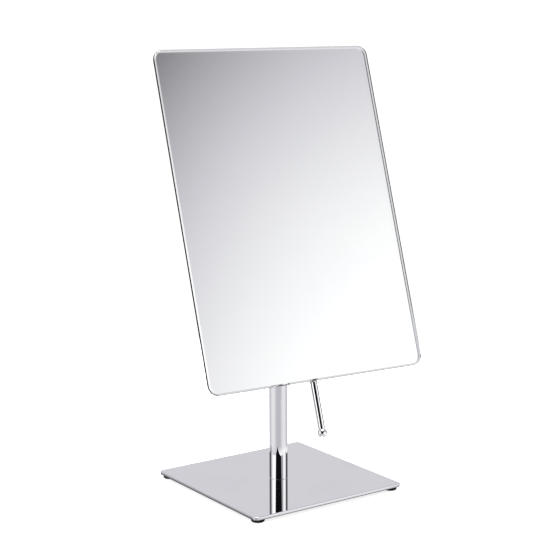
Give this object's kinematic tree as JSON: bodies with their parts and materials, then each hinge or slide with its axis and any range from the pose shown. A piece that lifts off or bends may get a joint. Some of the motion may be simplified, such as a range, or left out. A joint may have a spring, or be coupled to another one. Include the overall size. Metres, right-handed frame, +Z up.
{
  "type": "countertop mirror",
  "caption": "Free-standing countertop mirror: rounded rectangular glass tilting on a chromed post, with a ball-ended tilt lever and a square base plate.",
  "frame": {"origin": "centre of the footprint, on the surface that the feet stand on", "axes": "+Z up, the glass faces -Y, +X to the right of someone facing the glass; the tilt axis lies along X and the base is turned 3.6 degrees about Z"},
  "size_m": [0.165, 0.1276, 0.2975],
  "materials": {
    "polished_plate": "mirror-polished chromed steel",
    "foot_rubber": "matt",
    "zinc_steel": "bright zinc",
    "post_chrome": "polished",
    "bush_plastic": "turned acetal",
    "washer_nylon": "satin",
    "cast_chrome": "chromed casting",
    "spring_steel": "oiled",
    "clear_glass": "polished float glass",
    "silvering": "silver coat with protective paint behind",
    "foam_tape": "closed-cell foam",
    "panel_paint": "powder coated",
    "bracket_paint": "powder coated",
    "lever_chrome": "polished"
  },
  "bodies": {
    "base": {"base_plate": "polished_plate", "foot_front_left": "foot_rubber", "foot_front_right": "foot_rubber", "foot_back_left": "foot_rubber", "foot_back_right": "foot_rubber", "base_screw": "zinc_steel", "post_foot_plug": "zinc_steel", "post_tube": "post_chrome", "post_head_bush": "bush_plastic"},
    "fork": {"swivel_washer": "washer_nylon", "swivel_fork": "cast_chrome", "swivel_disc_spring": "spring_steel", "swivel_thrust_washer": "zinc_steel", "swivel_screw": "zinc_steel", "tilt_washer_left": "washer_nylon", "tilt_washer_right": "washer_nylon", "tilt_screw": "zinc_steel", "tilt_disc_spring": "spring_steel", "tilt_lock_nut": "zinc_steel"},
    "head": {"mirror_glass": "clear_glass", "mirror_silvering": "silvering", "foam_strip_left": "foam_tape", "foam_strip_right": "foam_tape", "foam_strip_bottom": "foam_tape", "foam_strip_top": "foam_tape", "back_panel": "panel_paint", "bracket_screws": "zinc_steel", "tilt_bracket": "bracket_paint", "lever_rod": "lever_chrome", "lever_jam_nut": "zinc_steel", "lever_ball": "lever_chrome"}
  },
  "joints": [
    {"name": "swivel", "type": "hinge", "parent": "base", "child": "fork", "pos_m": [0, 0, 0.15942], "axis": [0, 0, 1], "continuous": true},
    {"name": "tilt", "type": "hinge", "parent": "fork", "child": "head", "pos_m": [0, 0, 0.17342], "axis": [-1, 0, 0], "range_deg": [-18.5, 41.5]}
  ]
}
